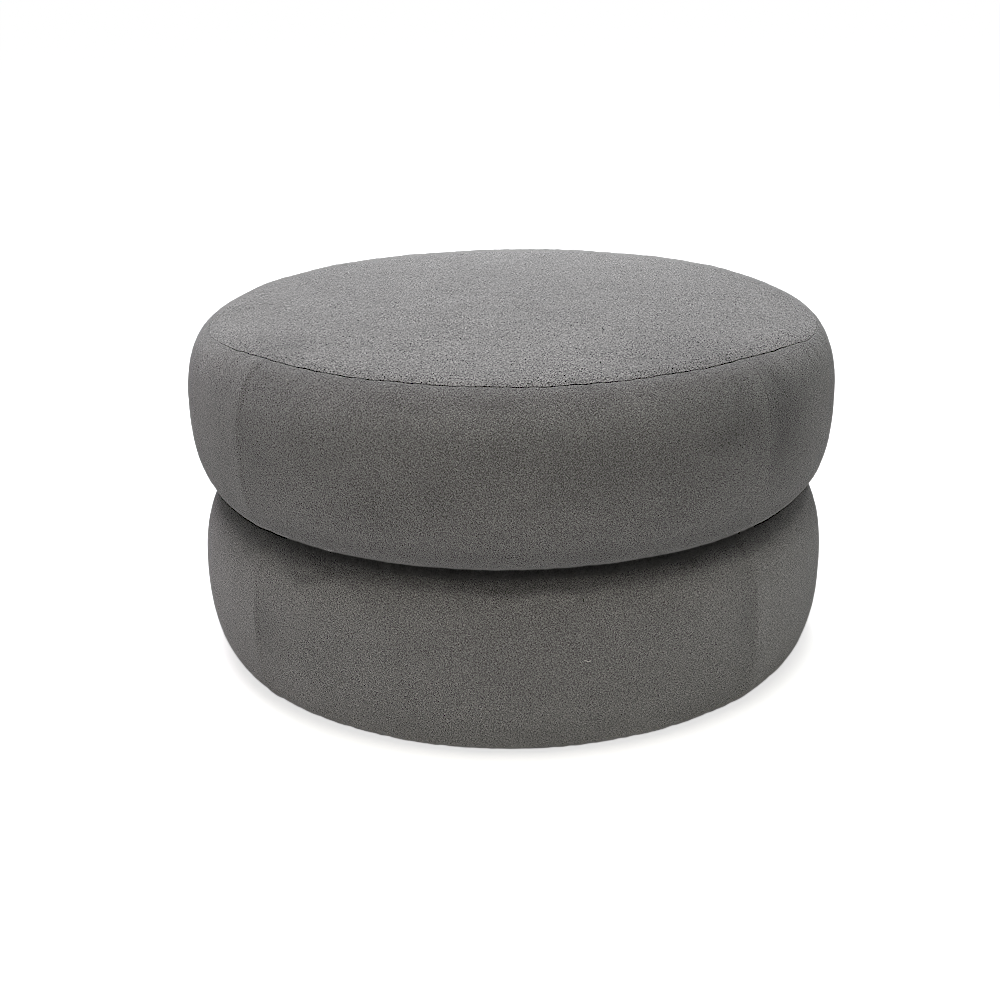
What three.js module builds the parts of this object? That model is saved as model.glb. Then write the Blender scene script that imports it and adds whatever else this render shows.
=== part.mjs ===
// A round upholstered ottoman of two filled tiers, one standing on the other.
// Millimetres, +Z up. It stands on z = 0, centred on the Z axis, with its front towards -Y.
// Every piece that is cut and sewn is a mesh of its own: a crowned top panel on the upper
// tier, and a band of four lengths round each tier. A piece is solid right through to the
// middle, so the pieces of a tier make up its filled cushion.
import * as THREE from 'three';

// Driving dimensions of the tiers. "inset" is how far the flat of the top or bottom ends
// inside the widest line, and "fullness" is the exponent of the bulge between the two:
// 2 is an ellipse, more is squarer. "crown" is how much higher the middle of the top is.
const seat = {
  radius: 400, bottom: 216, widest: 322, top: 420, crown: 10,
  topInset: 66, topFullness: 2.56, bottomInset: 53, bottomFullness: 2.62,
};
const base = {
  radius: 395, bottom: 0, widest: 106, top: 216, crown: 0,
  topInset: 55, topFullness: 2.3, bottomInset: 42, bottomFullness: 2.3,
};

// Seams of the bands, the same on both tiers: angles from the front, turning to the right
const frontLeftSeam = -49.5;
const frontRightSeam = 44;
const laterLength = (360 - (frontRightSeam - frontLeftSeam)) / 3;
const bandLengths = [
  { name: 'front', from: frontLeftSeam, to: frontRightSeam },
  { name: 'right', from: frontRightSeam, to: frontRightSeam + laterLength },
  { name: 'back', from: frontRightSeam + laterLength, to: frontRightSeam + 2 * laterLength },
  { name: 'left', from: frontRightSeam + 2 * laterLength, to: 360 + frontLeftSeam },
];

// Seam of the top panel: it lies further in over the front than round the sides and back, and
// the panel is sewn on a little to the right
const panelSeam = { front: 356, round: 371, easeFrom: 40, easeTo: 76, toTheRight: 2.7 };
const panelUnderside = 398;
const crownFade = 1.5;

// How the cloth is drawn in at a seam, and the clearance between pieces
const tuckDepth = 3;
const tuckReach = 5;
const gap = 0.3;

// Distances from the panel's seam and from a band's end seam at which points are placed, the
// shares of the panel's radius at which its crown gets points, and the numbers of steps along
// a band length between its seams and up each half of its bulge
const seamRows = [0, 1.5, 5, 12];
const seamColumns = [0, 1.5, 5, 12, 26];
const crownRows = [0.92, 0.8, 0.6, 0.4, 0.2, 0];
const bandSteps = 18;
const bulgeSteps = 8;

const cloth = { roughness: 0.95, metalness: 0 };
const panelColour = 0x8f8e8e;
const bandColour = 0x6d6b68;

const radians = THREE.MathUtils.degToRad;
const tuck = (distance) => tuckDepth * Math.exp(-distance / tuckReach);

function panelSeamRadius(angle) {
  const fromFront = Math.abs(THREE.MathUtils.euclideanModulo(angle + 180, 360) - 180);
  const eased = THREE.MathUtils.smoothstep(fromFront, panelSeam.easeFrom, panelSeam.easeTo);
  const centred = THREE.MathUtils.lerp(panelSeam.front, panelSeam.round, eased);
  return centred + panelSeam.toTheRight * Math.sin(radians(angle));
}

// Height of a tier's upper surface at a distance from the axis: the bulge's upper quarter,
// with a low crown that fades out towards the widest line
function upperHeight(tier, r) {
  const out = Math.max(0, (r - (tier.radius - tier.topInset)) / tier.topInset);
  const bulge = (1 - Math.min(1, out) ** tier.topFullness) ** (1 / tier.topFullness);
  const domed = Math.max(0, 1 - (r / tier.radius) ** 2) ** crownFade;
  return tier.widest + (tier.top - tier.widest) * bulge + tier.crown * domed;
}

// A point of the bulge, from the widest line (turn 0) up or down to the flat (turn 1).
// "facing" is how squarely the surface faces sideways there.
function upperBulge(tier, turn) {
  const facing = Math.cos(turn * Math.PI / 2);
  const r = tier.radius - tier.topInset * (1 - facing ** (2 / tier.topFullness));
  return { r, z: upperHeight(tier, r), facing };
}

function lowerBulge(tier, turn) {
  const facing = Math.cos(turn * Math.PI / 2);
  const drop = Math.sin(turn * Math.PI / 2) ** (2 / tier.bottomFullness);
  const r = tier.radius - tier.bottomInset * (1 - facing ** (2 / tier.bottomFullness));
  return { r, z: tier.widest - (tier.widest - tier.bottom) * drop, facing };
}

// Where the upper quarter of the bulge comes to a given distance from the axis
function turnAtRadius(tier, r) {
  const out = (r - (tier.radius - tier.topInset)) / tier.topInset;
  return Math.acos(out ** (tier.topFullness / 2)) / (Math.PI / 2);
}

// The outer side of a band length, from its bottom edge up to the given turn above the
// widest line. "side" is the distance along the band to its nearest end seam, where the
// cloth is drawn in. The limits on its height leave the clearance between the tiers.
function bandSide(tier, side, lowest, highest, lastTurn) {
  const drawnIn = ({ r, facing }) => r - tuck(side) * facing;
  const points = [];
  for (let i = bulgeSteps; i > 0; i--) {
    const point = lowerBulge(tier, i / bulgeSteps);
    points.push([drawnIn(point), Math.max(point.z, lowest)]);
  }
  for (let i = 0; i <= bulgeSteps; i++) {
    const point = upperBulge(tier, lastTurn * i / bulgeSteps);
    points.push([drawnIn(point), Math.min(point.z, highest)]);
  }
  return points;
}

// Outline of a band length at one angle, from the axis at the bottom round to the axis at
// the top. The lower tier's runs over its shoulder to a flat top.
function baseBandOutline({ side }) {
  const highest = base.top - gap / 2;
  return [[0, base.bottom], ...bandSide(base, side, base.bottom, highest, 1), [0, highest]];
}

// The upper tier's ends at the seam of the top panel, with a flat bed under the panel
function seatBandOutline({ angle, side }) {
  const seam = panelSeamRadius(angle) + gap / 2;
  const lastTurn = turnAtRadius(seat, seam + seamRows.at(-1));
  const lowest = seat.bottom + gap / 2;
  const points = [[0, lowest], ...bandSide(seat, side, lowest, seat.top, lastTurn)];
  for (const step of seamRows.slice(0, -1).reverse()) {
    const r = seam + step;
    const facing = Math.cos(turnAtRadius(seat, r) * Math.PI / 2) * step / seamRows.at(-1);
    points.push([r - tuck(side) * facing, upperHeight(seat, r) - tuck(step)]);
  }
  points.push([seam, panelUnderside - gap], [0, panelUnderside - gap]);
  return points;
}

// Outline of the top panel at one angle, from its flat underside to the top of its crown
function panelOutline(angle) {
  const seam = panelSeamRadius(angle) - gap / 2;
  const points = [[0, panelUnderside], [seam, panelUnderside]];
  for (const step of seamRows) {
    points.push([seam - step, upperHeight(seat, seam - step) - tuck(step)]);
  }
  for (const share of crownRows) {
    points.push([seam * share, upperHeight(seat, seam * share)]);
  }
  return points;
}

// A closed solid from outlines that stand round the Z axis. Each outline starts and ends on
// the axis. Where they don't go all the way round, the two end faces are closed as well.
function turnedSolid(columns, allRound) {
  const rows = columns[0].outline.length;
  const positions = [0, 0, columns[0].outline[0][1], 0, 0, columns[0].outline[rows - 1][1]];
  const lowPole = 0;
  const highPole = 1;
  for (const { angle, outline } of columns) {
    for (const [r, z] of outline.slice(1, -1)) {
      positions.push(r * Math.sin(radians(angle)), -r * Math.cos(radians(angle)), z);
    }
  }
  const at = (column, row) => {
    if (row === 0) return lowPole;
    if (row === rows - 1) return highPole;
    return 2 + (column % columns.length) * (rows - 2) + row - 1;
  };
  const faces = [];
  for (let i = 0; i < columns.length - (allRound ? 0 : 1); i++) {
    for (let j = 0; j < rows - 1; j++) {
      const corners = [at(i, j), at(i + 1, j), at(i + 1, j + 1), at(i, j + 1)];
      if (j > 0) faces.push([corners[0], corners[1], corners[2]]);
      if (j < rows - 2) faces.push([corners[0], corners[2], corners[3]]);
    }
  }
  if (!allRound) {
    for (const column of [0, columns.length - 1]) {
      const contour = columns[column].outline.map(([r, z]) => new THREE.Vector2(r, z));
      for (const [a, b, c] of THREE.ShapeUtils.triangulateShape(contour, [])) {
        const face = [at(column, a), at(column, b), at(column, c)];
        faces.push(column === 0 ? face : face.reverse());
      }
    }
  }
  const geometry = new THREE.BufferGeometry();
  geometry.setAttribute('position', new THREE.Float32BufferAttribute(positions, 3));
  geometry.setIndex(faces.flat());
  geometry.computeVertexNormals();
  return geometry;
}

// Angles along a band length, close together where the cloth is drawn in at its two ends
function bandColumns(tier, length) {
  const degreesPerMm = 180 / (Math.PI * tier.radius);
  const reach = seamColumns.at(-1) * degreesPerMm;
  const columns = seamColumns.map((step) => ({ angle: length.from + step * degreesPerMm, side: step }));
  for (let i = 1; i < bandSteps; i++) {
    const angle = THREE.MathUtils.lerp(length.from + reach, length.to - reach, i / bandSteps);
    columns.push({ angle, side: Math.min(angle - length.from, length.to - angle) / degreesPerMm });
  }
  for (const step of seamColumns.slice().reverse()) {
    columns.push({ angle: length.to - step * degreesPerMm, side: step });
  }
  return columns;
}

function piece(name, geometry, colour) {
  const mesh = new THREE.Mesh(geometry, new THREE.MeshStandardMaterial({ color: colour, ...cloth }));
  mesh.name = name;
  return mesh;
}

// The four lengths of a tier's band. Each is moved out a little along its middle line, which
// leaves the clearance between neighbours at their seams.
function band(prefix, tier, outlineAt) {
  const lengths = new THREE.Group();
  for (const length of bandLengths) {
    const columns = bandColumns(tier, length)
      .map((column) => ({ angle: column.angle, outline: outlineAt(column) }));
    const mesh = piece(`${prefix}_band_${length.name}`, turnedSolid(columns, false), bandColour);
    const middle = radians((length.from + length.to) / 2);
    const outward = (gap / 2) / Math.sin(radians((length.to - length.from) / 2));
    mesh.position.set(outward * Math.sin(middle), -outward * Math.cos(middle), 0);
    lengths.add(mesh);
  }
  return lengths;
}

// The top panel has its points at angles that the band also has, so that the clearance is
// even all round
function topPanel() {
  const columns = bandLengths.flatMap((length) => bandColumns(seat, length)
    .filter(({ side }, index) => index === 0 || side >= seamColumns.at(-1))
    .map(({ angle }) => ({ angle, outline: panelOutline(angle) })));
  return piece('seat_top_panel', turnedSolid(columns, true), panelColour);
}

const ottoman = new THREE.Group();
ottoman.add(band('base', base, baseBandOutline));
ottoman.add(band('seat', seat, seatBandOutline));
ottoman.add(topPanel());

export default ottoman;
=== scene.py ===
import math

import bpy
import numpy as np
from mathutils import Matrix, Vector, noise


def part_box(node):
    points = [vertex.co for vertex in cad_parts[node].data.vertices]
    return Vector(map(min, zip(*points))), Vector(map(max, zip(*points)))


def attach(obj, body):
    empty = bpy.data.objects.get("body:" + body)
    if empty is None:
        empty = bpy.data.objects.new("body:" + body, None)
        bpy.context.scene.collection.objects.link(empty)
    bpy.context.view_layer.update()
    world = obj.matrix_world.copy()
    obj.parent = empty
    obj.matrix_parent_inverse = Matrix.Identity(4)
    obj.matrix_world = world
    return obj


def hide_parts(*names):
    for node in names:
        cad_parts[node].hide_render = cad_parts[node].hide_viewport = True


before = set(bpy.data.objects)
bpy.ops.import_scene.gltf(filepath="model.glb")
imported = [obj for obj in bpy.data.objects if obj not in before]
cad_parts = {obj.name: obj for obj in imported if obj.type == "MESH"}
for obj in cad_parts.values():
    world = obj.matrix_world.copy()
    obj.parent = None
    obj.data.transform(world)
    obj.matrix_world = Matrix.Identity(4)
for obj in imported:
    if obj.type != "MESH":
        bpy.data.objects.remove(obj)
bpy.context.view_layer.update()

# Lower tier: a round cushion, filled firm, that stands on the floor. Its cover is four lengths of
# nubby grey cloth, seamed end to end into a band and turned under above and below. Each length
# is a closed form here, solid through to the middle, and stands for its node.

# Sizes of a tier, in metres. An inset is how far inside the widest line the flat of the top or
# the bottom ends, and a fullness is the exponent of the bulge between the two: 2 is an ellipse,
# more is squarer. The crown is how much higher the middle of the top is.
base_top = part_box("base_band_front")[1].z
base = {
    "radius": 0.395, "bottom": 0.0, "widest": 0.106, "top": base_top, "crown": 0.0,
    "top_inset": 0.055, "top_fullness": 2.3, "bottom_inset": 0.042, "bottom_fullness": 2.3,
}
crown_fade = 1.5
front_left_seam = -49.5
front_right_seam = 44.0
later_length = (360 - (front_right_seam - front_left_seam)) / 3
band_lengths = {
    "front": (front_left_seam, front_right_seam),
    "right": (front_right_seam, front_right_seam + later_length),
    "back": (front_right_seam + later_length, front_right_seam + 2 * later_length),
    "left": (front_right_seam + 2 * later_length, 360 + front_left_seam),
}

# Clearance at a seam, spacing of the points on the cloth and in its simulation, and distances
# from a seam at which points lie close together
seam_gap = 0.00004
cloth_step = 0.0021
sim_step = 0.009
from_seam = (0.0, 0.00025, 0.0006, 0.0011, 0.0018, 0.0028, 0.0042)

# The last frame of the simulation, the share of its unevenness that is kept, the most that this
# moves a band's cloth, and the distances from an end seam over which it and the nubs fade in
last_frame = 20
uneven_share = 0.3
band_uneven_limit = 0.0015
uneven_reach = 0.03
nub_reach = 0.012


def cross_section(tier):
    """A tier's outline from the middle of its top, out over the shoulder, round the widest line
    and in to the middle of its underside: distance along it, radius and height."""
    out = np.linspace(0, math.pi / 2, 600)
    top_power, bottom_power = 2 / tier["top_fullness"], 2 / tier["bottom_fullness"]
    top_r = tier["radius"] - tier["top_inset"] * (1 - np.sin(out) ** top_power)
    top_z = (tier["top"] - tier["widest"]) * np.cos(out) ** top_power
    low_r = tier["radius"] - tier["bottom_inset"] * (1 - np.cos(out) ** bottom_power)
    low_z = (tier["bottom"] - tier["widest"]) * np.sin(out) ** bottom_power
    flat = np.linspace(0, top_r[0], 200)[:-1]
    widest = len(flat) + len(top_r)
    r = np.concatenate([flat, top_r, low_r[1:], [0.0]])
    rise = np.concatenate([np.full(len(flat), top_z[0]), top_z, low_z[1:], [low_z[-1]]])
    domed = np.clip(1 - (r / tier["radius"]) ** 2, 0, 1) ** crown_fade
    z = tier["widest"] + rise + tier["crown"] * domed * (np.arange(len(r)) < widest)
    along = np.concatenate([[0.0], np.cumsum(np.hypot(np.diff(r), np.diff(z)))])
    return {
        "along": along, "r": r, "z": z, "upper_r": r[:widest], "upper_along": along[:widest],
        "top_edge": along[len(flat)], "bottom_edge": along[-2],
    }


def marks(total, spacing, start=(0.0,), end=(0.0,)):
    """Distances from 0 to total: close together by a seam, and even elsewhere."""
    first, last = start[-1], total - end[-1]
    middle = np.linspace(first, last, round((last - first) / spacing) + 1)
    return np.concatenate([start[:-1], middle, total - np.array(end[:-1])[::-1]])


def band_points(tier, section, length, top_edge, down, across):
    """Points on a band length. top_edge is where on the cross-section its upper edge lies, for
    each column, down is the distance from that edge and across the distance from its left seam."""
    angle = math.radians(length[0]) + across / tier["radius"]
    r = np.interp(top_edge + down, section["along"], section["r"])
    z = np.interp(top_edge + down, section["along"], section["z"])
    return np.stack([r * np.sin(angle), -r * np.cos(angle), z], -1)


def new_piece(name, points, faces, smooth):
    mesh = bpy.data.meshes.new(name)
    mesh.from_pydata(points.tolist(), [], faces)
    mesh.polygons.foreach_set("use_smooth", smooth)
    piece = bpy.data.objects.new(name, mesh)
    bpy.context.scene.collection.objects.link(piece)
    return piece


def closed_band(name, rows, bed=None):
    """A band length as a mesh: its rows of points outside, a wall down to bed where its upper
    edge stands over one, flat faces above and below, and an end face at each seam."""
    inside = 0 if bed is None else 1
    grid = rows if bed is None else np.concatenate([bed[None], rows])
    count, wide = grid.shape[:2]
    at = np.arange(count * wide).reshape(count, wide)
    axis_top, axis_bottom = count * wide, count * wide + 1
    points = np.concatenate([grid.reshape(-1, 3), [[0, 0, grid[0, 0, 2]], [0, 0, grid[-1, 0, 2]]]])
    quads = np.stack([at[:-1, :-1], at[1:, :-1], at[1:, 1:], at[:-1, 1:]], -1).reshape(-1, 4)
    flats = [
        [axis_top, *at[0]],
        [axis_bottom, *at[-1, ::-1]],
        [axis_bottom, *at[::-1, 0], axis_top],
        [axis_top, *at[:, -1], axis_bottom],
    ]
    smooth = np.zeros(len(quads) + len(flats), bool)
    smooth[inside * (wide - 1):len(quads)] = True
    faces = quads.tolist() + [[int(i) for i in flat] for flat in flats]
    return new_piece(name, points, faces, smooth), inside * wide


def read_points(mesh, what="co"):
    values = np.empty(len(mesh.vertices) * 3, np.float32)
    mesh.vertices.foreach_get(what, values)
    return values.reshape(-1, 3).astype(float)


def settle(piece, first, ring, free, seed):
    """Blender's cloth, blown out by its filling and held at the seams. ring numbers each outer
    point by its distance from the seam. Returns how much further each outer point has moved out
    than is usual for its ring, in metres. The piece is used up."""
    start, normals = read_points(piece.data), read_points(piece.data, "normal")
    held = np.ones(len(start), bool)
    held[first:first + ring.size][free.ravel()] = False
    sewn = piece.vertex_groups.new(name="sewn")
    sewn.add(np.flatnonzero(held).tolist(), 1.0, "REPLACE")
    filling = piece.vertex_groups.new(name="filling")
    for i, point in enumerate(start):
        firmness = 0.7 + 0.5 * noise.noise(Vector(point) * 10 + Vector((seed, 0, 0)))
        filling.add([i], firmness, "REPLACE")
    cover = piece.modifiers.new("cover", "CLOTH")
    cover.settings.mass = 0.3
    cover.settings.tension_stiffness = 15
    cover.settings.compression_stiffness = 15
    cover.settings.shear_stiffness = 8
    cover.settings.bending_stiffness = 2
    cover.settings.shrink_min = -0.01
    cover.settings.vertex_group_mass = "sewn"
    cover.settings.use_pressure = True
    cover.settings.uniform_pressure_force = 40
    cover.settings.vertex_group_pressure = "filling"
    cover.settings.effector_weights.gravity = 0
    cover.collision_settings.use_collision = False
    for number in range(1, last_frame + 1):
        bpy.context.scene.frame_set(number)
    blown = read_points(piece.evaluated_get(bpy.context.evaluated_depsgraph_get()).data)
    bpy.context.scene.frame_set(1)
    moved = ((blown - start) * normals).sum(1)[first:first + ring.size]
    bpy.data.objects.remove(piece)
    flat = ring.ravel()
    usual = np.bincount(flat, moved) / np.bincount(flat)
    return (moved - usual[flat]).reshape(ring.shape)


def between(field, row, column):
    """The field, known at whole rows and columns, at points between them (Catmull-Rom)."""
    def weights(at, last):
        whole = np.clip(np.floor(at).astype(int), 0, last - 1)
        t = at - whole
        curve = [
            -t + 2 * t**2 - t**3, 2 - 5 * t**2 + 3 * t**3,
            t + 4 * t**2 - 3 * t**3, t**3 - t**2,
        ]
        return [(np.clip(whole + step - 1, 0, last), curve[step] / 2) for step in range(4)]

    total = 0.0
    for i, by_row in weights(row, field.shape[0] - 1):
        for j, by_column in weights(column, field.shape[1] - 1):
            total = total + field[i, j] * by_row * by_column
    return total


def smoothstep(value, low, high):
    t = np.clip((value - low) / (high - low), 0, 1)
    return t * t * (3 - 2 * t)


def rolled_edge(distance, size):
    """How deep cloth lies where it rolls over into a seam."""
    inward = np.clip(1 - distance / size, 0, 1)
    return 0.5 * size * (1 - np.sqrt(1 - inward**2))


def seam_ridge(distance, lean, height):
    """The ridge over a seam's turned-in edges, which lie folded to one side of it: it falls away
    slowly to that side and quickly to the other. lean is 1 for the right side, -1 for the left."""
    side = distance * lean
    return height * (1 - smoothstep(side, 0.006, 0.030)) * (1 - smoothstep(-side, 0.0, 0.010))


def noise_at(points, size, seed):
    """Smooth noise from -1 to 1, with lumps about as wide as size."""
    shift = Vector((seed, seed * 0.7, seed * 0.3))
    flat = [noise.noise(Vector(p) / size + shift) for p in points.reshape(-1, 3).tolist()]
    return np.array(flat).reshape(points.shape[:-1])


def push_out(piece, first, height):
    """Moves the outer points out along their normals, and none below the floor."""
    points, normals = read_points(piece.data), read_points(piece.data, "normal")
    outer = slice(first, first + height.size)
    points[outer] += normals[outer] * height.reshape(-1, 1)
    points[:, 2] = np.maximum(points[:, 2], 0)
    piece.data.vertices.foreach_set("co", points.astype(np.float32).ravel())
    piece.data.update()


def cloth_relief(points, seed):
    """The uneven surface of cloth over its filling, and its nubs where they are wider than the
    mesh's steps."""
    return (0.0007 * noise_at(points, 0.07, seed) + 0.0003 * noise_at(points, 0.025, seed + 5)
            + 0.00022 * noise_at(points, 0.0045, seed + 9))


def crease(along, up, start, end, width, depth):
    """A soft trough in the cloth from start to end, or a ridge where depth is below 0."""
    run, rise = end[0] - start[0], end[1] - start[1]
    part = ((along - start[0]) * run + (up - start[1]) * rise) / (run**2 + rise**2)
    nearest = np.clip(part, 0, 1)
    away = np.hypot(along - start[0] - nearest * run, up - start[1] - nearest * rise)
    middle = np.sin(np.pi * np.clip(0.1 + 0.8 * nearest, 0, 1))
    return -depth * middle * np.exp(-(away / width) ** 2)


def pile_tone_and_painted_light(along, up, patches):
    """How light the cloth is painted: 1 as woven, and more or less in patches, partly where the
    pile lies brushed one way or the other and partly as painted light and shade. A patch has its
    middle, its half width and half height, and the change in its middle."""
    tone = np.ones(along.shape)
    for middle_along, middle_up, half_width, half_height, change in patches:
        away = ((along - middle_along) / half_width) ** 2 + ((up - middle_up) / half_height) ** 2
        tone += change * np.exp(-away)
    return tone


def lay_pile_and_painted_light(piece, first, tone):
    """Gives the outer points their tone, the pile's own with painted light and shade, for the
    cloth's material.
    """
    values = np.ones(len(piece.data.vertices), np.float32)
    values[first:first + tone.size] = tone.ravel()
    piece.data.attributes.new("pile_tone_and_painted_light", "FLOAT", "POINT").data.foreach_set("value", values)


def painted_gap_shade(level):
    """Painted shade in the gap where the tiers bear on each other: darker on the upper tier's
    underside and over the lower tier's shoulder.
    """
    above = smoothstep(level, base_top + 0.042, base_top + 0.020)
    below = smoothstep(level, base_top - 0.026, base_top - 0.015)
    deep = smoothstep(level, base_top - 0.011, base_top - 0.003)
    return np.where(level > base_top, 1 - 0.22 * above, (1 - 0.28 * below) * (1 - 0.35 * deep))


def make_band(
    prefix, tier, section, side, details, top_edge_at, bed_at=None, edge_marks=(0.0,), seed=0.0,
):
    """One length of a tier's band, sewn to its neighbours, and along its upper edge to the panel
    where edge_marks puts points close together there. Its details are the side to which each end's
    seam is laid with the height of its ridge in metres, its creases, and its patches of brushed
    pile and of painted light and shade, in degrees from the front and in millimetres."""
    length = band_lengths[side]
    half_angle = math.radians(length[1] - length[0]) / 2
    width = 2 * half_angle * tier["radius"]
    has_panel_seam = len(edge_marks) > 1

    def laid_out(spacing, near_edge, near_seam):
        """Points, with their distances from the upper edge and from the left seam, and how far
        each column reaches down."""
        across = marks(width, spacing, near_seam, near_seam)[None, :]
        top_edge = top_edge_at(math.radians(length[0]) + across / tier["radius"])
        reach = section["bottom_edge"] - top_edge
        even = marks(reach.mean(), spacing, near_edge)[:, None]
        last = near_edge[-1]
        stretched = last + (even - last) * (reach - last) / (reach.mean() - last)
        down = np.where(even <= last, even, stretched)
        across = np.broadcast_to(across, down.shape)
        return band_points(tier, section, length, top_edge, down, across), down, across, reach

    rows, down, across, reach = laid_out(cloth_step, edge_marks, from_seam)
    uneven = np.zeros(rows.shape[:2])
    coarse = laid_out(sim_step, (0.0,), (0.0,))[0]
    ring = np.broadcast_to(np.arange(len(coarse))[:, None], coarse.shape[:2])
    free = np.zeros(coarse.shape[:2], bool)
    free[1:-1, 1:-1] = True
    form, first = closed_band("form", coarse, bed_at(coarse) if bed_at else None)
    field = settle(form, first, ring, free, seed)
    coarse_rows, coarse_columns = len(coarse) - 1, coarse.shape[1] - 1
    uneven = between(field, down / reach * coarse_rows, across / width * coarse_columns)
    name = f"{prefix}_band_{side}"
    piece, first = closed_band(name + "_cloth", rows, bed_at(rows) if bed_at else None)
    to_seam = np.minimum(across, width - across)
    uneven = np.clip(uneven_share * uneven, -band_uneven_limit, band_uneven_limit)
    push_out(piece, first, uneven * smoothstep(to_seam, 0, uneven_reach))

    seam_ends = smoothstep(down, 0, 0.012) * smoothstep(reach - down, 0, 0.03)
    left_seam, right_seam = details["seams"]
    ridge = seam_ridge(across, *left_seam) + seam_ridge(across - width, *right_seam)
    flat_points = np.stack([across, down, 0 * down], -1)
    tightness = 1 + 0.6 * noise_at(flat_points, 0.03, seed + 3)
    height = cloth_relief(rows, seed) * smoothstep(to_seam, 0, nub_reach)
    if has_panel_seam:
        roll = panel_roll(math.radians(length[0]) + across[:1] / tier["radius"])
        puckers = 0.0006 * noise_at(flat_points, 0.008, seed) * np.exp(-down / 0.006)
        height = (height + puckers) * smoothstep(down, -0.002, 0.010)
        height -= rolled_edge(down, roll) + roll * np.exp(-down / 0.012)
    height += ridge * seam_ends - rolled_edge(to_seam, 0.0004 * tightness)
    turn = length[0] + np.degrees(across / tier["radius"])
    level = 1000 * rows[..., 2]
    mm_per_degree = math.radians(1000 * tier["radius"])
    for start, end, crease_width, depth in details.get("creases", ()):
        ends = [(angle * mm_per_degree, crease_level) for angle, crease_level in (start, end)]
        height += 0.001 * crease(turn * mm_per_degree, level, *ends, crease_width, depth)
    push_out(piece, first, height)

    # The tone is the pile's own, with painted light and shade from the patches.
    stray = noise_at(flat_points, 0.05, seed + 6)
    tone = pile_tone_and_painted_light(turn + 2.5 * stray, level + 10 * stray, details.get("patches", ()))
    tone = tone * (1 + 0.05 * noise_at(rows, 0.008, seed + 8))
    if has_panel_seam:
        # Painted shade along the panel's seam.
        tone = tone * painted_seam_shade(down)
    # Painted shade darkens the tone in the gap between the tiers.
    lay_pile_and_painted_light(piece, first, tone * painted_gap_shade(rows[..., 2]))

    outward = seam_gap / 2 / math.sin(half_angle)
    middle = math.radians(length[0]) + half_angle
    clear = (outward * math.sin(middle), -outward * math.cos(middle), 0)
    piece.data.transform(Matrix.Translation(clear))
    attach(piece, "root")
    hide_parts(name)
    return piece


def new_group(name, inputs, outputs):
    """An empty node group with these sockets, and its input and output nodes."""
    group = bpy.data.node_groups.new(name, "ShaderNodeTree")
    kinds = {"FLOAT": "NodeSocketFloat", "COLOUR": "NodeSocketColor"}
    for label, kind in inputs.items():
        group.interface.new_socket(label, in_out="INPUT", socket_type=kinds[kind])
    for label, kind in outputs.items():
        group.interface.new_socket(label, in_out="OUTPUT", socket_type=kinds[kind])
    return group, group.nodes.new("NodeGroupInput"), group.nodes.new("NodeGroupOutput")


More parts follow.
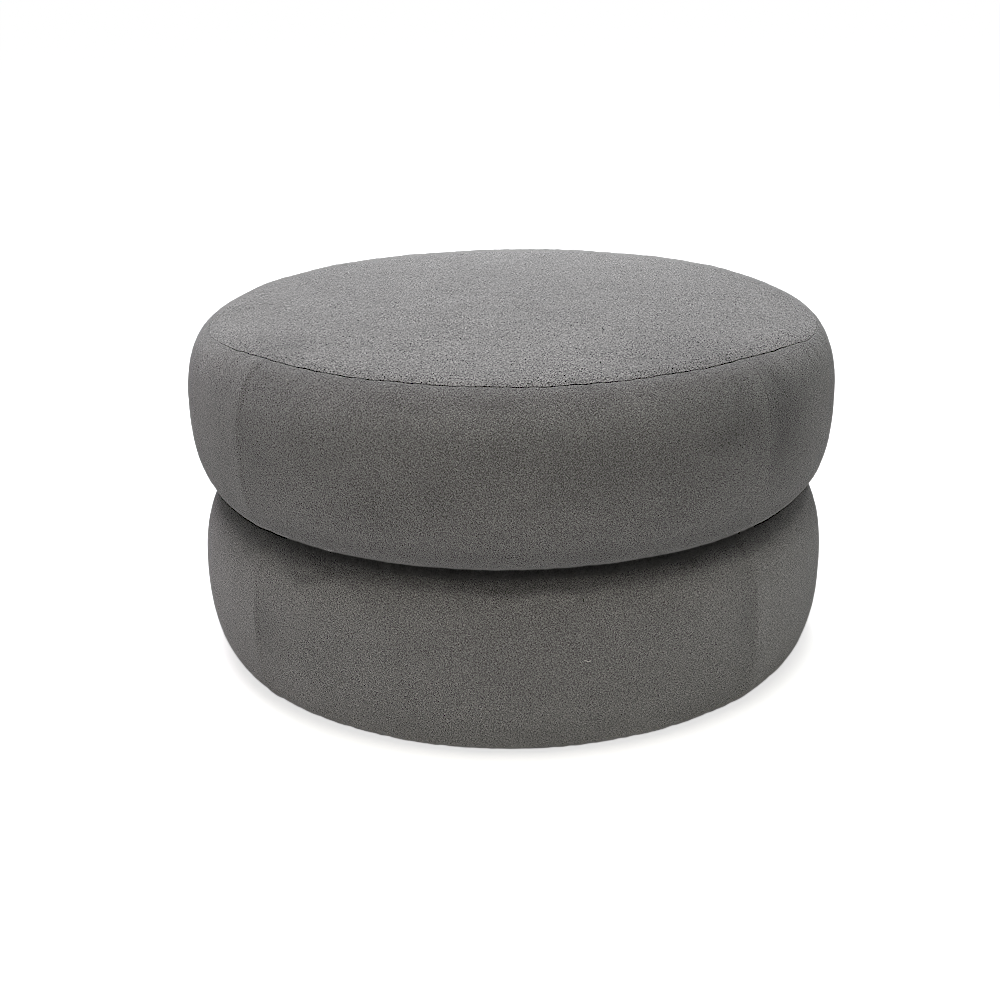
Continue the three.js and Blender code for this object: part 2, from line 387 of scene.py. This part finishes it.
def make_nubby_cloth():
    """Short looped pile: small nubs, each a little lighter or darker than the next, with dark
    hollows between them, partly the cloth's grain and partly painted shade, and finer fibres over
    both, and soft patches of tone a hand wide."""
    group, given, out = new_group(
        "nubby cloth",
        {
            "Hollow": "COLOUR", "Nub": "COLOUR", "Nub Size": "FLOAT", "Density": "FLOAT",
            "Pile Tone And Painted Light": "FLOAT",
        },
        {"Color": "COLOUR", "Height": "FLOAT"},
    )
    nodes, links = group.nodes, group.links

    def add(kind, **settings):
        node = nodes.new(kind)
        for key, value in settings.items():
            setattr(node, key, value)
        return node

    def math_node(operation, *values):
        node = add("ShaderNodeMath", operation=operation)
        for socket, value in zip(node.inputs, values):
            if isinstance(value, (int, float)):
                socket.default_value = value
            else:
                links.new(value, socket)
        return node.outputs[0]

    def noise_node(scale, detail):
        node = add("ShaderNodeTexNoise")
        node.inputs["Detail"].default_value = detail
        links.new(place, node.inputs["Vector"])
        if isinstance(scale, (int, float)):
            node.inputs["Scale"].default_value = scale
        else:
            links.new(scale, node.inputs["Scale"])
        return node

    place = add("ShaderNodeTexCoord").outputs["Object"]
    nubs_per_metre = math_node("DIVIDE", 1.0, given.outputs["Nub Size"])

    # Loops curl, so the nubs are cells of bent space
    curl = noise_node(math_node("MULTIPLY", nubs_per_metre, 0.7), 1)
    bent = add("ShaderNodeVectorMath", operation="MULTIPLY_ADD")
    reach = add("ShaderNodeVectorMath", operation="SCALE")
    reach.inputs[0].default_value = (0.9, 0.9, 0.9)
    links.new(given.outputs["Nub Size"], reach.inputs["Scale"])
    links.new(curl.outputs["Color"], bent.inputs[0])
    links.new(reach.outputs[0], bent.inputs[1])
    links.new(place, bent.inputs[2])
    cells = add("ShaderNodeTexVoronoi", feature="F1")
    links.new(bent.outputs[0], cells.inputs["Vector"])
    links.new(nubs_per_metre, cells.inputs["Scale"])
    round_top = add("ShaderNodeMapRange", interpolation_type="SMOOTHSTEP")
    links.new(cells.outputs["Distance"], round_top.inputs["Value"])
    for label, value in {"From Min": 0.1, "From Max": 0.85, "To Min": 1.0, "To Max": 0.0}.items():
        round_top.inputs[label].default_value = value
    nub = round_top.outputs[0]
    own_tone = add("ShaderNodeSeparateColor")
    links.new(cells.outputs["Color"], own_tone.inputs[0])
    fibre = noise_node(math_node("MULTIPLY", nubs_per_metre, 1.6), 2).outputs["Fac"]
    patch = noise_node(14, 3).outputs["Fac"]

    tone = math_node("MULTIPLY_ADD", nub, 0.5, -0.45)
    tone = math_node("MULTIPLY_ADD", own_tone.outputs[0], 0.6, tone)
    tone = math_node("MULTIPLY_ADD", fibre, 0.8, tone)
    tone = math_node("POWER", math_node("MAXIMUM", tone, 0.0), given.outputs["Density"])
    blend = add("ShaderNodeMix", data_type="RGBA")
    links.new(tone, blend.inputs["Factor"])
    links.new(given.outputs["Hollow"], blend.inputs["A"])
    links.new(given.outputs["Nub"], blend.inputs["B"])
    shade = add("ShaderNodeMix", data_type="RGBA", blend_type="MULTIPLY")
    shade.inputs["Factor"].default_value = 1.0
    links.new(blend.outputs["Result"], shade.inputs["A"])
    patchy = math_node("MULTIPLY_ADD", patch, 0.3, 0.85)
    links.new(math_node("MULTIPLY", patchy, given.outputs["Pile Tone And Painted Light"]), shade.inputs["B"])
    links.new(shade.outputs["Result"], out.inputs["Color"])
    links.new(math_node("MULTIPLY_ADD", fibre, 0.35, nub), out.inputs["Height"])
    return group


nubby_cloth = make_nubby_cloth()


def cloth_material(name, lightness, nub_size, relief, density, hollow, nub):
    """Grey cloth with a dull sheen. Seen aslant its nubs stand out more against its hollows, in
    painted shade and painted light: the hollows are painted darker and the nubs lighter the more
    edge on they are seen. hollow and nub are their greys seen straight on and edge on. Nub size and
    relief are in metres, and a higher density leaves fewer light nubs."""
    material = bpy.data.materials.new(name)
    material.use_nodes = True
    nodes, links = material.node_tree.nodes, material.node_tree.links
    shader = nodes["Principled BSDF"]
    shader.inputs["Roughness"].default_value = 0.9
    shader.inputs["Specular IOR Level"].default_value = 0.2
    shader.inputs["Sheen Weight"].default_value = 0.6
    shader.inputs["Sheen Roughness"].default_value = 0.3
    pile = nodes.new("ShaderNodeGroup")
    pile.node_tree = nubby_cloth
    pile.inputs["Nub Size"].default_value = nub_size
    pile.inputs["Density"].default_value = density
    # Painted shade in the hollows and painted light on the nubs, stronger the more aslant the cloth
    # is seen.
    facing = nodes.new("ShaderNodeLayerWeight")
    aslant = nodes.new("ShaderNodeMapRange")
    aslant.inputs["From Min"].default_value = 0.1
    aslant.inputs["From Max"].default_value = 0.6
    links.new(facing.outputs["Facing"], aslant.inputs["Value"])
    for label, (straight_on, edge_on) in {"Hollow": hollow, "Nub": nub}.items():
        change = nodes.new("ShaderNodeMix")
        change.data_type = "RGBA"
        for socket, grey in (("A", straight_on), ("B", edge_on)):
            tint = [grey * lightness * share for share in (1.03, 1.0, 0.965)]
            change.inputs[socket].default_value = (*tint, 1)
        links.new(aslant.outputs["Result"], change.inputs["Factor"])
        links.new(change.outputs["Result"], pile.inputs[label])
    tone = nodes.new("ShaderNodeAttribute")
    tone.attribute_name = "pile_tone_and_painted_light"
    links.new(tone.outputs["Fac"], pile.inputs["Pile Tone And Painted Light"])
    bump = nodes.new("ShaderNodeBump")
    bump.inputs["Distance"].default_value = relief
    bump.inputs["Strength"].default_value = 0.8
    links.new(pile.outputs["Color"], shader.inputs["Base Color"])
    links.new(pile.outputs["Height"], bump.inputs["Height"])
    links.new(bump.outputs["Normal"], shader.inputs["Normal"])
    return material


band_grain = {
    "nub_size": 0.00095, "relief": 0.001, "density": 1.7,
    "hollow": (0.187, 0.158), "nub": (0.557, 0.678),
}
# The lower band is the upper band's cloth painted 1.2 times as light: painted light on the lower
# tier.
base_cloth = cloth_material("lower band cloth", 1.2, **band_grain)
base_section = cross_section(base)
left_ridge, right_ridge, later_ridge = (-1, 0.0014), (1, 0.0014), (1, 0.0012)
# Patches on the lower tier are partly pile brushed one way or the other and partly painted light
# and shade: the dark ones from 190 to 211 mm are painted shade in the gap under the upper tier, and
# the light one at 72 degrees is painted light on the lower tier's shoulder.
base_details = {
    "front": {
        "seams": (left_ridge, right_ridge),
        "patches": (
            (-47.5, 112, 3.5, 36, -0.26), (-40, 90, 6, 22, -0.10), (41.5, 118, 2.5, 48, -0.17),
            (-2, 62, 8, 22, 0.12), (-11, 165, 9, 16, 0.10), (-32, 170, 7, 14, 0.08),
            (10, 124, 6, 26, -0.06), (28, 58, 8, 16, 0.08), (25, 176, 8, 10, 0.10),
            (-36, 190, 9, 7, -0.22), (40, 200, 10, 8, -0.22), (3, 201, 14, 6, -0.10),
            (-40, 206, 6, 7, -0.14), (32, 211, 8, 6, -0.30), (-41, 194, 7, 9, -0.14),
            (5, 203, 13, 5, -0.12), (6, 189, 12, 6, 0.12), (42, 207, 6, 9, -0.16),
        ),
    },
    "right": {
        "seams": (right_ridge, later_ridge),
        "patches": (
            (46.5, 120, 3.5, 45, 0.13), (50, 50, 5, 18, 0.12), (72, 203, 14, 12, 0.40),
            (58, 178, 12, 14, 0.10), (47, 202, 7, 10, -0.26), (53, 100, 8, 60, 0.07),
        ),
    },
    "back": {"seams": (later_ridge, later_ridge)},
    "left": {
        "seams": (later_ridge, left_ridge),
        "patches": ((303, 122, 4, 40, -0.04), (308, 194, 6, 10, -0.22)),
    },
}
base_bands = {}
for number, side in enumerate(band_lengths):
    base_bands[side] = make_band(
        "base", base, base_section, side, base_details[side],
        lambda angle: np.full(angle.shape, base_section["top_edge"]), seed=11.0 + number,
    )
    base_bands[side].data.materials.append(base_cloth)

# A stray white fibre clings to the lower tier's front, to the right of its middle, and a dark
# crumb of fluff above it. The fibre is 8 mm long and a little over 1 mm thick, the crumb 4 mm
# long. Neither is part of the cover: they lie on its pile, a tenth of their thickness deep in it.


def cling(name, path, thickness, colour):
    """A bit of fluff that clings to the front along path, in degrees and millimetres. So short a
    path has one way out all along it, that of its last point."""
    well_outside = 0.6
    centres = []
    for angle, level in path:
        out = Vector((math.sin(math.radians(angle)), -math.cos(math.radians(angle)), 0))
        start = well_outside * out + Vector((0, 0, level / 1000))
        found = base_bands["front"].ray_cast(start, -out)[1]
        centres.append(found + 0.4 * thickness * out)
    sides = 6
    points = []
    for i, centre in enumerate(centres):
        run = (centres[min(i + 1, len(centres) - 1)] - centres[max(i - 1, 0)]).normalized()
        across = run.cross(out).normalized()
        radius = thickness / 2 * (0.5 if i in (0, len(centres) - 1) else 1.0)
        for k in range(sides):
            around = 2 * math.pi * k / sides
            points.append(centre + radius * (math.cos(around) * out + math.sin(around) * across))
    at = np.arange(len(points)).reshape(-1, sides)
    ahead = np.roll(at, -1, axis=1)
    quads = np.stack([at[:-1], ahead[:-1], ahead[1:], at[1:]], -1).reshape(-1, 4)
    faces = quads.tolist() + [at[0, ::-1].tolist(), at[-1].tolist()]
    points = np.array([tuple(point) for point in points])
    piece = new_piece(name, points, faces, [True] * len(faces))
    material = bpy.data.materials.new(name)
    material.use_nodes = True
    shader = material.node_tree.nodes["Principled BSDF"]
    shader.inputs["Base Color"].default_value = (*colour, 1)
    shader.inputs["Roughness"].default_value = 0.8
    piece.data.materials.append(material)
    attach(piece, "root")


bpy.context.view_layer.update()
fibre_path = (
    (10.35, 122.2), (10.6, 122.6), (10.85, 121.8), (11.1, 120.8), (11.35, 121.2), (11.5, 122.4),
)
crumb_path = ((10.74, 188.4), (10.66, 186.6), (10.78, 184.8))
cling("white_fibre", fibre_path, 0.0013, (0.8, 0.78, 0.75))
cling("dark_crumb", crumb_path, 0.0014, (0.14, 0.14, 0.13))

# Upper tier's band: four lengths again, sewn along their upper edge to the top panel. The edge
# rolls over into the seam, and under it is the bed that the panel's filling lies on.

seat_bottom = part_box("seat_band_front")[0].z
shoulder_top = 0.420
panel_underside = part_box("seat_top_panel")[0].z
panel_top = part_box("seat_top_panel")[1].z
seat = {
    "radius": 0.400, "bottom": seat_bottom, "widest": 0.322,
    "top": shoulder_top, "crown": panel_top - shoulder_top,
    "top_inset": 0.066, "top_fullness": 2.56, "bottom_inset": 0.053, "bottom_fullness": 2.62,
}
seat_section = cross_section(seat)

# Distance of the panel's seam from the axis at the front, how much further out it lies at the
# sides and back, the degrees from the front between which it moves out, and how far to the right
# the panel is sewn on
front_seam_radius = 0.356
further_out = 0.015
moves_out = (40, 76)
to_the_right = 0.0027


def degrees_from_front(angle):
    return np.abs((np.degrees(angle) + 180) % 360 - 180)


def panel_seam(angle):
    """Distance of the top panel's seam from the axis: further in over the front, wavering a
    little, and pulled out a little at the right."""
    eased = smoothstep(degrees_from_front(angle), *moves_out)
    radius = front_seam_radius + further_out * eased + to_the_right * np.sin(angle)
    wavering = 0.0006 * np.sin(9 * angle + 1.0) + 0.0005 * np.sin(23 * angle)
    wavering += 0.0003 * np.sin(61 * angle + 2.0) + 0.0003 * np.sin(97 * angle)
    return radius + wavering + 0.0026 * np.exp(-((np.degrees(angle) - 66) / 10) ** 2)


def panel_roll(angle):
    """How far cloth rolls over into the panel's seam: here a little more, there a little less, and
    least at the sides."""
    from_front = degrees_from_front(angle)
    on_seam = 0.36 * np.stack([np.sin(angle), np.cos(angle), 0 * angle], -1)
    uneven = 1 + 0.5 * noise_at(on_seam, 0.015, 70.0)
    at_sides = smoothstep(from_front, 48, 70) - smoothstep(from_front, 84, 104)
    return (0.00068 - 0.0006 * at_sides) * uneven


def painted_seam_shade(distance):
    """The cloth is drawn in at the panel's seam, and painted a little darker next to it: painted
    shade along the seam's groove.
    """
    return 1 - 0.09 * np.exp(-(distance / 0.008) ** 2)


def seat_top_edge(angle):
    """Where on the cross-section a band length's upper edge lies."""
    edge = panel_seam(angle) + seam_gap / 2
    return np.interp(edge, seat_section["upper_r"], seat_section["upper_along"])


def seat_bed(rows):
    """The bed's rim, straight below a band length's upper edge."""
    rim = rows[0].copy()
    rim[:, 2] = panel_underside - seam_gap
    return rim


low_ridge = (-1, 0.0004)
# Patches on the upper band are partly pile brushed one way or the other and partly painted light
# and shade, such as the light strip across the front at 390 mm and the light patch high on the
# left.
seat_details = {
    "front": {
        "seams": (left_ridge, low_ridge),
        "creases": (
            ((-31.6, 413), (-29.4, 398), 5, 0.5), ((15.5, 407), (15.9, 391), 5, 0.5),
            ((15.9, 391), (16.9, 364), 4, 0.6), ((-23, 324), (-6, 328), 4, 0.3),
            ((7.5, 329), (12.5, 328), 4, 0.35), ((-10.5, 295), (3.5, 298), 5, 0.25),
            ((13, 298), (34, 285), 5, 0.3),
        ),
        "patches": (
            (-46, 345, 5, 55, -0.18), (-36, 350, 8, 45, -0.04), (-45, 395, 10, 12, -0.14),
            (39, 370, 7, 34, -0.24), (41, 325, 4, 20, -0.08), (36, 325, 13, 50, -0.13),
            (15, 345, 9, 30, -0.08), (19, 400, 3, 12, 0.06), (0, 290, 16, 22, 0.06),
            (-14, 360, 8, 34, 0.06), (9, 285, 5, 28, 0.06), (-24, 298, 6, 26, -0.11),
            (-48, 275, 3, 20, -0.10), (0, 406, 16, 6, -0.06), (-44, 412, 7, 8, -0.10),
            (38, 250, 6, 14, -0.09), (34, 352, 6, 12, -0.14), (-3, 390, 28, 14, 0.17),
        ),
    },
    "right": {
        "seams": (low_ridge, left_ridge),
        "creases": (
            ((44.4, 334), (54.8, 328), 3, -0.5), ((44.2, 322), (54.3, 314), 3, -0.5),
            ((44.4, 327), (52, 320), 4, 0.4), ((46, 398), (50, 372), 7, 0.4),
        ),
        "patches": (
            (46, 376, 5, 32, -0.30), (48, 330, 6, 26, -0.14), (45, 320, 6, 50, -0.12),
            (56, 374, 7, 24, -0.12), (50, 300, 7, 60, -0.13), (51, 360, 8, 32, -0.12),
        ),
    },
    "back": {"seams": (left_ridge, left_ridge)},
    "left": {
        "seams": (left_ridge, left_ridge),
        "patches": ((293, 410, 9, 14, 0.12), (305, 385, 6, 20, -0.18)),
    },
}
seat_cloth = cloth_material("upper band cloth", 1.0, **band_grain)
for number, side in enumerate(band_lengths):
    piece = make_band(
        "seat", seat, seat_section, side, seat_details[side], seat_top_edge, seat_bed, from_seam,
        seed=31.0 + number,
    )
    piece.data.materials.append(seat_cloth)

# Top panel of the upper tier: one round of the same cloth over a low crowned pad, sewn all round
# to the four lengths of the band with a plain turned seam. Its middle swells a little higher than
# its node, and its creases and patches are in millimetres to the right and to the back.

panel_rings = 145
panel_sim_rings = 40
panel_uneven_limit = 0.002
panel_swell = 0.0045
panel_swell_reach = 0.12
panel_creases = (
    ((-151, -62), (-47, -1), 14, 0.8), ((-131, -136), (-50, -117), 14, 0.6),
)
# The panel's patches are partly pile brushed one way or the other and partly painted light and
# shade, such as the lighter back of the top.
panel_patches = (
    (190, -240, 60, 60, -0.10), (52, -240, 40, 60, 0.07), (-264, -200, 60, 40, -0.13),
    (-335, -130, 24, 60, 0.10), (60, 120, 160, 90, 0.04), (225, -250, 50, 40, -0.06),
    (10, 300, 280, 90, 0.15), (190, 220, 110, 60, 0.07), (150, -310, 60, 40, -0.12),
    (350, 0, 40, 100, -0.07), (20, -335, 60, 22, -0.07),
)


def make_panel():
    def laid_out(rings, near_seam):
        """Points in square rings about the axis. With them come the ring of each, its distance
        from the seam, and its place on a flat square from -1 to 1."""
        shares = np.linspace(-1, 1, 2 * rings + 1)
        a, b = np.meshgrid(shares, shares, indexing="ij")
        ring = np.maximum(abs(a), abs(b))
        number = np.rint(ring * rings).astype(int)
        wide = abs(a) >= abs(b)
        safe_a, safe_b = np.where(a == 0, 1, a), np.where(b == 0, 1, b)
        turn = np.where(wide, math.pi / 4 * b / safe_a, math.pi / 2 - math.pi / 4 * a / safe_b)
        turn += np.where(np.where(wide, a, b) < 0, math.pi, 0)
        edge = panel_seam(turn + math.pi / 2) - seam_gap / 2
        mean = edge.mean()
        even = np.linspace(near_seam[-1], mean, rings - len(near_seam) + 2)
        inward = np.concatenate([near_seam[:-1], even])
        share = 1 - inward[::-1] / mean
        r = edge * share[number]
        z = np.interp(r, seat_section["upper_r"], seat_section["z"][:len(seat_section["upper_r"])])
        points = np.stack([r * np.cos(turn), r * np.sin(turn), z], -1)
        where = np.stack([a, b], -1) * (share[number] / np.maximum(ring, 1e-9))[..., None]
        return points, number, edge - r, where

    def closed(name, points):
        """The panel as a mesh: its points above, a wall down from its rim, and a flat underside."""
        at = np.arange(points.shape[0] ** 2).reshape(points.shape[:2])
        quads = np.stack([at[:-1, :-1], at[1:, :-1], at[1:, 1:], at[:-1, 1:]], -1).reshape(-1, 4)
        rim = np.concatenate([at[:-1, 0], at[-1, :-1], at[:0:-1, -1], at[0, :0:-1]])
        below = points.reshape(-1, 3)[rim].copy()
        below[:, 2] = panel_underside
        under = at.size + np.arange(len(rim))
        wall = np.stack([rim, under, np.roll(under, -1), np.roll(rim, -1)], -1)
        faces = quads.tolist() + wall.tolist() + [under[::-1].tolist()]
        smooth = np.arange(len(faces)) < len(quads)
        return new_piece(name, np.concatenate([points.reshape(-1, 3), below]), faces, smooth)

    points, _, inward, where = laid_out(panel_rings, from_seam)
    uneven = np.zeros(inward.shape)
    coarse, ring, _, _ = laid_out(panel_sim_rings, (0.0,))
    field = settle(closed("form", coarse), 0, ring, ring < panel_sim_rings, 51.0)
    row, column = np.moveaxis((where + 1) / 2 * (2 * panel_sim_rings), -1, 0)
    uneven = between(field, row, column)
    piece = closed("seat_top_panel_cloth", points)
    push_out(piece, 0, np.clip(uneven_share * uneven, -panel_uneven_limit, panel_uneven_limit))
    roll = panel_roll(np.arctan2(points[..., 0], -points[..., 1]))
    puckers = 0.0006 * noise_at(points, 0.008, 57.0) * np.exp(-inward / 0.006)
    height = (1.6 * cloth_relief(points, 55.0) + puckers) * smoothstep(inward, -0.002, 0.010)
    height += panel_swell
    height -= (panel_swell + roll) * np.clip(1 - inward / panel_swell_reach, 0, 1) ** 2
    height -= rolled_edge(inward, roll)
    across, ahead = 1000 * points[..., 0], 1000 * points[..., 1]
    for start, end, crease_width, depth in panel_creases:
        height += 0.001 * crease(across, ahead, start, end, crease_width, depth)
    push_out(piece, 0, height)
    mottled = 1 + 0.11 * noise_at(points, 0.005, 61.0) + 0.08 * noise_at(points, 0.012, 62.0)
    # The panel's tone carries painted light and shade: its patches, and painted shade along its
    # seam.
    lay_pile_and_painted_light(piece, 0, mottled * pile_tone_and_painted_light(across, ahead, panel_patches) * painted_seam_shade(inward))
    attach(piece, "root")
    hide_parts("seat_top_panel")
    return piece


# The panel is the same cloth, its greys painted 1.1 times as light: painted light on the top, with
# a grain of its own.
panel_cloth = cloth_material(
    "panel cloth", 1.1, nub_size=0.0011, relief=0.0008, density=1.0,
    hollow=(0.120, 0.002), nub=(0.540, 0.690),
)
make_panel().data.materials.append(panel_cloth)

# Stage: a white floor that glows a little, as a lit sweep of paper does, soft boxes above, before
# and behind the ottoman, and the camera at the photograph's viewing angle.

floor_size = 30.0
floor_mesh = bpy.data.meshes.new("floor")
corner_signs = ((-1, -1), (1, -1), (1, 1), (-1, 1))
floor_corners = [(x * floor_size, y * floor_size, 0) for x, y in corner_signs]
floor_mesh.from_pydata(floor_corners, [], [(0, 1, 2, 3)])
floor = bpy.data.objects.new("floor", floor_mesh)
bpy.context.scene.collection.objects.link(floor)


def white_floor():
    """White paper. Away from the ottoman the camera sees it as plain white."""
    material = bpy.data.materials.new("white floor")
    material.use_nodes = True
    nodes, links = material.node_tree.nodes, material.node_tree.links
    shader = nodes["Principled BSDF"]
    shader.inputs["Base Color"].default_value = (0.94, 0.93, 0.91, 1)
    shader.inputs["Roughness"].default_value = 1.0
    shader.inputs["Emission Color"].default_value = (1, 1, 1, 1)
    place = nodes.new("ShaderNodeTexCoord")
    away = nodes.new("ShaderNodeVectorMath")
    away.operation = "LENGTH"
    fade = nodes.new("ShaderNodeMapRange")
    fade.interpolation_type = "SMOOTHSTEP"
    for label, value in {"From Min": 0.36, "From Max": 0.45, "To Min": 0.7, "To Max": 1.0}.items():
        fade.inputs[label].default_value = value
    seen = nodes.new("ShaderNodeLightPath")
    glow = nodes.new("ShaderNodeMix")
    glow.inputs["A"].default_value = 0.14
    links.new(place.outputs["Object"], away.inputs[0])
    links.new(away.outputs["Value"], fade.inputs["Value"])
    links.new(seen.outputs["Is Camera Ray"], glow.inputs["Factor"])
    links.new(fade.outputs["Result"], glow.inputs["B"])
    links.new(glow.outputs["Result"], shader.inputs["Emission Strength"])
    return material


floor_mesh.materials.append(white_floor())


light_size = 1.5
light_distance = 3.0
lit_point = Vector((0, 0, 0.3))


def softbox(name, turn, height, power, colour):
    """A square light that faces the ottoman's middle. turn is its angle from the front, to the
    right, and height its angle above the ottoman, both in degrees."""
    around, up = math.radians(turn), math.radians(height)
    way = Vector((math.sin(around) * math.cos(up), -math.cos(around) * math.cos(up), math.sin(up)))
    light = bpy.data.lights.new(name, "AREA")
    light.size = light_size
    light.energy = power
    light.color = colour
    lamp = bpy.data.objects.new(name, light)
    lamp.location = lit_point + light_distance * way
    lamp.rotation_euler = way.to_track_quat("Z", "Y").to_euler()
    lamp.visible_camera = False
    bpy.context.scene.collection.objects.link(lamp)


softbox("overhead", 0, 90, 27.5, (0.93, 1.0, 1.04))
softbox("front", 0, 62, 22.1, (1.03, 1.0, 0.91))
softbox("back left", 225, 62, 25.0, (1.13, 1.0, 1.15))
softbox("back", 180, 35, 69.1, (0.94, 1.0, 1.04))

world = bpy.data.worlds.new("studio")
world.use_nodes = True
background = world.node_tree.nodes["Background"]
background.inputs["Color"].default_value = (1, 1, 1, 1)
seen = world.node_tree.nodes.new("ShaderNodeLightPath")
world.node_tree.links.new(seen.outputs["Is Camera Ray"], background.inputs["Strength"])
bpy.context.scene.world = world
bpy.context.scene.view_settings.view_transform = "Standard"


def sharpen_picture():
    """The sharpening that a camera gives its pictures, kept to the cloth's own greys and off its
    edges, which would get a line along them."""
    scene = bpy.context.scene
    scene.use_nodes = True
    nodes, links = scene.node_tree.nodes, scene.node_tree.links
    nodes.clear()
    picture = nodes.new("CompositorNodeRLayers").outputs["Image"]
    sharpen = nodes.new("CompositorNodeFilter")
    sharpen.filter_type = "SHARPEN_DIAMOND"
    sharpen.inputs["Fac"].default_value = 0.5
    links.new(picture, sharpen.inputs["Image"])
    grey = nodes.new("CompositorNodeRGBToBW")
    links.new(picture, grey.inputs["Image"])
    middle_grey, spread = 0.26, 0.245
    cloth_tones = nodes.new("CompositorNodeMath")
    cloth_tones.operation = "COMPARE"
    cloth_tones.inputs[1].default_value = middle_grey
    cloth_tones.inputs[2].default_value = spread
    links.new(grey.outputs["Val"], cloth_tones.inputs[0])
    within = nodes.new("CompositorNodeDilateErode")
    within.distance = -2
    links.new(cloth_tones.outputs["Value"], within.inputs["Mask"])
    blend = nodes.new("CompositorNodeMixRGB")
    links.new(within.outputs["Mask"], blend.inputs["Fac"])
    links.new(picture, blend.inputs[1])
    links.new(sharpen.outputs["Image"], blend.inputs[2])
    links.new(blend.outputs["Image"], nodes.new("CompositorNodeComposite").inputs["Image"])


sharpen_picture()

camera_data = bpy.data.cameras.new("camera")
camera_data.sensor_width = 36
camera_data.lens = 53.06
camera = bpy.data.objects.new("camera", camera_data)
camera_place = Matrix.Translation((-0.016, -1.800, 0.842))
looking_down = Matrix.Rotation(math.pi / 2 - math.radians(20.74), 4, "X")
leaning = Matrix.Rotation(-0.015, 4, "Z")
camera.matrix_world = camera_place @ looking_down @ leaning
bpy.context.scene.collection.objects.link(camera)
bpy.context.scene.camera = camera
